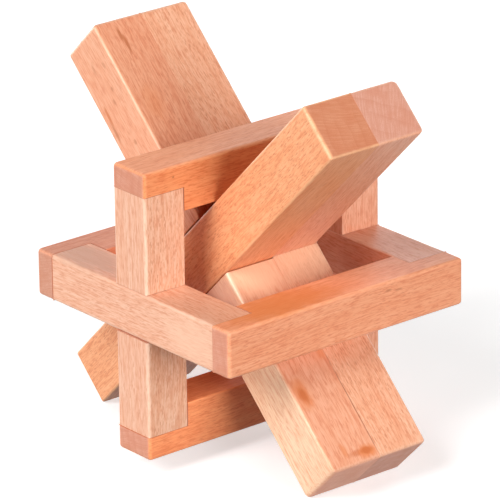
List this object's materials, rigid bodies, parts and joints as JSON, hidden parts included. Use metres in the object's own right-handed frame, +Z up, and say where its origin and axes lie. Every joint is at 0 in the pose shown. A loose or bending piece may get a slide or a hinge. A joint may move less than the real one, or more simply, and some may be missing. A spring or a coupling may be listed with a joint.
{
  "type": "wooden burr puzzle",
  "caption": "Beech burr puzzle: square frames glued crosswise into a cage, with laminated bars half-lapped through it as an X, which slide apart sideways before they draw out.",
  "frame": {"origin": "on the standing surface, under the middle of the puzzle as it stands on the lower ends of its crossing bars", "axes": "+X along the long rails of both frames, to the right seen from the front; +Y to the back; +Z up"},
  "size_m": [0.076, 0.103, 0.103],
  "materials": {
    "beech_rail": "fine sanded, clear oiled beech, grain along the rail, end grain at both ends",
    "beech_cross_member": "fine sanded, clear oiled beech, slightly paler, with flecked grain",
    "beech_long_strip": "fine sanded, clear oiled beech, quarter-sawn with ray flecks",
    "beech_short_strip": "fine sanded, clear oiled beech, slightly redder"
  },
  "bodies": {
    "cage": {"front_rail": "beech_rail", "back_rail": "beech_rail", "left_side_rail": "beech_cross_member", "right_side_rail": "beech_cross_member", "top_rail": "beech_rail", "bottom_rail": "beech_rail", "left_post": "beech_cross_member", "right_post": "beech_cross_member"},
    "back_bar": {"back_bar_long_strip": "beech_long_strip", "back_bar_upper_strip": "beech_short_strip", "back_bar_lower_strip": "beech_short_strip"},
    "front_bar": {"front_bar_long_strip": "beech_long_strip", "front_bar_upper_strip": "beech_short_strip", "front_bar_lower_strip": "beech_short_strip"}
  },
  "joints": [
    {"name": "back_bar_slide", "type": "slide", "parent": "cage", "child": "back_bar", "axis": [1, 0, 0], "range_m": [0, 0.0114]},
    {"name": "front_bar_slide", "type": "slide", "parent": "cage", "child": "front_bar", "axis": [-1, 0, 0], "range_m": [0, 0.009]}
  ]
}
